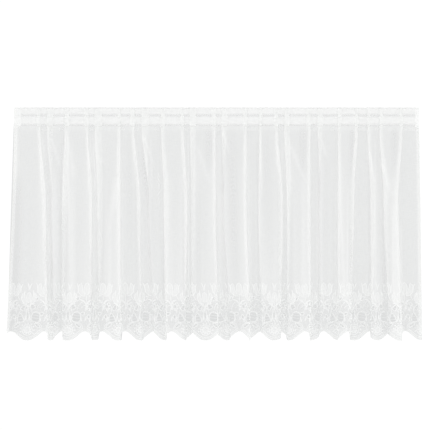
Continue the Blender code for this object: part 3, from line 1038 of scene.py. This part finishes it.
# One repeat, across from its notch. Lines are start, end, bend, half width.
motif = {
    "petals": (
        # leaf blades
        ((43, 82), (24, 97), -5, 2.2), ((44, 82), (61, 96), 5, 2.2),
        ((86, 92), (69, 106), -4, 2.3), ((88, 92), (104, 105), 4, 2.3),
        ((64, 121), (60, 150), -3, 1.6), ((23, 122), (27, 147), 3, 1.6),
        ((66, 106), (55, 133), 4, 1.7), ((21, 107), (32, 132), -4, 1.7),
        ((86, 75), (94, 92), 3, 1.9), ((42, 128), (38, 150), -2, 1.5),
        ((45, 128), (50, 148), 2, 1.5),
        # leaves between the gaps
        ((33, 47), (37, 66), -2, 2.0), ((52, 46), (49, 68), 2, 2.0), ((12, 46), (15, 62), 2, 1.8),
        ((75, 48), (74, 62), -2, 1.8), ((14, 72), (16, 84), 2, 1.7), ((84, 50), (88, 64), -2, 1.8),
    ),
    "cords": (
        ((43.5, 82), (43.5, 95), 0, 1.0), ((87, 92), (87, 116), 0, 1.0),
        ((66, 80), (77, 100), 3, 0.8), ((21, 72), (14, 100), -4, 0.8), ((36, 74), (43, 84), 2, 0.8),
        ((52, 76), (44, 84), -2, 0.8), ((22, 104), (16, 124), 3, 0.7),
        ((66, 104), (72, 126), -3, 0.7), ((75, 84), (87, 92), 2, 0.8),
        ((96, 84), (87, 92), -2, 0.8), ((6, 30), (20, 48), 5, 0.9), ((81, 30), (67, 48), -5, 0.9),
    ),
    # centre, inner and outer radius, number of petals and their half width
    "flowers": (
        ((9, 88), 5.6, 11.0, 7, 2.0),
    ),
    "flowerTurn": 0.3,
    "flowerFullest": 0.6,
    # foot, height and width
    "tulips": (
        ((43.5, 95), 30.0, 38.0), ((87, 115), 34.0, 44.0),
    ),
    # height above the edge, half width and distance from the notch
    "arcs": ((1.4, 1.3, 0.3), (5.6, 0.7, 4.0), (9.4, 0.9, 8.0)),
    "rimHalf": 1.2,
    "rimGrow": 0.8,
    # number of the gap, and place along it
    "bars": (
        (0, -0.22), (0, 0.12), (1, -0.2), (1, 0.12), (1, 0.4), (2, -0.15), (3, -0.15),
        (5, -0.25), (5, 0.0), (5, 0.25), (6, 0.0), (7, 0.0),
    ),
    "barHalf": 0.55,
}

rosette = {
    "centre": (43.5, 28.0),
    "petals": (3.0, 11.5, 9, 2.8),  # inner and outer radius, number and half width
    "circles": ((2.2, 0.8, 16), (13.2, 1.1, 24)),  # radius, half width and steps
    "rays": (14.8, 20.5, 13, 2.1),
    "raysAbove": 16.0,  # where they stay clear of the lines of the scallop
}

bm = bmesh.new()
bm.loops.layers.uv.new("flat")
for start, end, bend, half in motif["petals"]:
    petal(bm, start, end, bend, half)
for start, end, bend, half in motif["cords"]:
    cord(bm, start, end, bend, half, stitch["cordSteps"])
for centre, inner, outer, petals, half in motif["flowers"]:
    flower(bm, centre, inner, outer, petals, half)
for foot, height, width in motif["tulips"]:
    tulip(bm, foot, height, width)
flower(bm, rosette["centre"], *rosette["petals"])
for radius, half, steps in rosette["circles"]:
    circle(bm, rosette["centre"], radius, half, steps)
for above, half, inset in motif["arcs"]:
    scallopArc(bm, above, half, inset)
inner, outer, count, half = rosette["rays"]
starts = ringOf(rosette["centre"], inner, count, 0.0)
for start, end in zip(starts, ringOf(rosette["centre"], outer, count, 0.0)):
    if end[1] > rosette["raysAbove"]:
        petal(bm, start, end, 0.0, half)
oneRepeat = bpy.data.meshes.new("oneRepeat")
bm.to_mesh(oneRepeat)
bm.free()

bm = bmesh.new()
bm.from_mesh(oneRepeat)
firstVerts = list(bm.verts)
firstRepeat = firstVerts + list(bm.edges) + list(bm.faces)
bmesh.ops.translate(bm, verts=firstVerts, vec=(repeatStarts[0], 0.0, 0.0))
for repeat in range(1, len(repeatStarts)):
    copied = bmesh.ops.duplicate(bm, geom=firstRepeat)
    moved = [item for item in copied["geom"] if isinstance(item, bmesh.types.BMVert)]
    bmesh.ops.translate(bm, verts=moved, vec=(cloth["repeat"] * repeat, 0.0, 0.0))
for edge, direction in ((stitch["sideInset"], -1.0), (clothWidth - stitch["sideInset"], 1.0)):
    everything = list(bm.verts) + list(bm.edges) + list(bm.faces)
    bmesh.ops.bisect_plane(bm, geom=everything, plane_co=(edge, 0, 0), plane_no=(direction, 0, 0),
                           clear_outer=True)
bpy.data.meshes.remove(oneRepeat)
satinMotifs = newPiece("satinMotifs", bm, laceThread)
satinMotifs.data.materials.append(laceFilling)
hangMesh(satinMotifs.data)


def barEnds(gap, place):
    # Where a bar across a gap meets the upper and the lower half of its outline
    form, _, _, length, width, _ = gap
    angles, radii = outlines[form]
    outline = np.stack([np.cos(angles) * radii, np.sin(angles) * radii], axis=1)
    for half in (outline[angles > 0], outline[angles < 0]):
        order = np.argsort(half[:, 0])
        yield place * length, np.interp(place, half[order, 0], half[order, 1]) * width


bm = bmesh.new()
bm.loops.layers.uv.new("flat")
for gap, start in keptGaps:
    around = rim(gap, start, motif["rimGrow"], stitch["rimSteps"])
    addStroke(bm, around, motif["rimHalf"], closed=True)
    for index, place in motif["bars"]:
        if gap == laceGaps[index]:
            ends = [gapPlace(gap, start, *point) for point in barEnds(gap, place)]
            cord(bm, *ends, 0.0, motif["barHalf"], stitch["barSteps"])
satinRims = newPiece("satinRims", bm, laceThread)
hangMesh(satinRims.data)
print("lace stitched")

# Setting: even white light, and behind the cloth a pale grey card of its outline that glows:
# a painted shadow, seen through the sheer cloth.
setting = {
    "worldStrength": 1.04,
    "transparentBounces": 64,
    "bounces": 24,
    "paintedShadowBehind": 15.0,
    "paintedShadowTone": (0.728, 0.735, 0.735),
    "columns": 800,
    "rows": 24,
    "inset": 0.6,  # how far it ends inside the outline of the cloth
    "hemSamples": 8001,
}

world = bpy.data.worlds.new("world")
world.use_nodes = True
world.node_tree.nodes["Background"].inputs["Color"].default_value = (1.0, 1.0, 1.0, 1.0)
world.node_tree.nodes["Background"].inputs["Strength"].default_value = setting["worldStrength"]
scene.world = world
scene.view_settings.view_transform = "Standard"
scene.cycles.transparent_max_bounces = setting["transparentBounces"]
scene.cycles.max_bounces = setting["bounces"]
scene.cycles.diffuse_bounces = setting["bounces"]


def glowingFromFront(name, tone):
    # An even tone that glows rather than being lit, seen from the room only: it paints the shadow
    # behind the cloth.
    finish = Finish(name, (0.0, 0.0, 0.0), 1.0, 0.0)
    finish.set("Emission Color", (*tone, 1.0))
    finish.set("Emission Strength", 1.0)
    behind = finish.node("ShaderNodeNewGeometry", None, None, "Backfacing")
    seeThrough = finish.node("ShaderNodeBsdfTransparent")
    surface = Field(finish.shader.outputs[0])
    blend = finish.node("ShaderNodeMixShader", None, {0: behind, 1: surface, 2: seeThrough})
    finish.tree.links.new(blend.socket, finish.tree.nodes["Material Output"].inputs["Surface"])
    return finish.material


# The lowest cloth at each place along the hem, as seen from the front
hemAcross = np.linspace(0.0, clothWidth, setting["hemSamples"])
hemPlaces = hung(hemAcross, hemUp(hemAcross), np.zeros(len(hemAcross)))[0] / mm
shares = np.linspace(0.0, 1.0, setting["columns"] + 1)
hemX = mix(cloth["hemLeft"], cloth["hemRight"], shares)
nearest = np.rint(np.interp(hemPlaces[:, 0], hemX, np.arange(len(hemX)))).astype(int)
lowest = np.zeros(len(hemX))
np.minimum.at(lowest, nearest, hemPlaces[:, 2])

# The painted shadow: a glowing grey sheet of the cloth's outline, a little behind it, grown so that
# from the camera it ends just inside the outline.
bm = bmesh.new()
bmesh.ops.create_grid(bm, x_segments=setting["columns"], y_segments=setting["rows"], size=0.5)
grow = (cameraPlace["distance"] + setting["paintedShadowBehind"] * mm) / cameraPlace["distance"]
for vert in bm.verts:
    column = round((vert.co.x + 0.5) * setting["columns"])
    down = 0.5 - vert.co.y
    z = mix(-setting["inset"], lowest[column] + setting["inset"], down)
    left, right = sideEdges(-z)
    x = mix(left + setting["inset"], right - setting["inset"], shares[column])
    vert.co.x = cameraPlace["across"] + (x * mm - cameraPlace["across"]) * grow
    vert.co.y = setting["paintedShadowBehind"] * mm
    vert.co.z = cameraPlace["height"] + (z * mm - cameraPlace["height"]) * grow
bmesh.ops.recalc_face_normals(bm, faces=bm.faces)
for face in bm.faces:
    if face.normal.y > 0.0:
        face.normal_flip()
paintedShadowMesh = bpy.data.meshes.new("paintedShadow")
bm.to_mesh(paintedShadowMesh)
bm.free()
paintedShadowMesh.materials.append(glowingFromFront("paintedShadow", setting["paintedShadowTone"]))
paintedShadow = bpy.data.objects.new("paintedShadow", paintedShadowMesh)
scene.collection.objects.link(paintedShadow)
print("setting made")
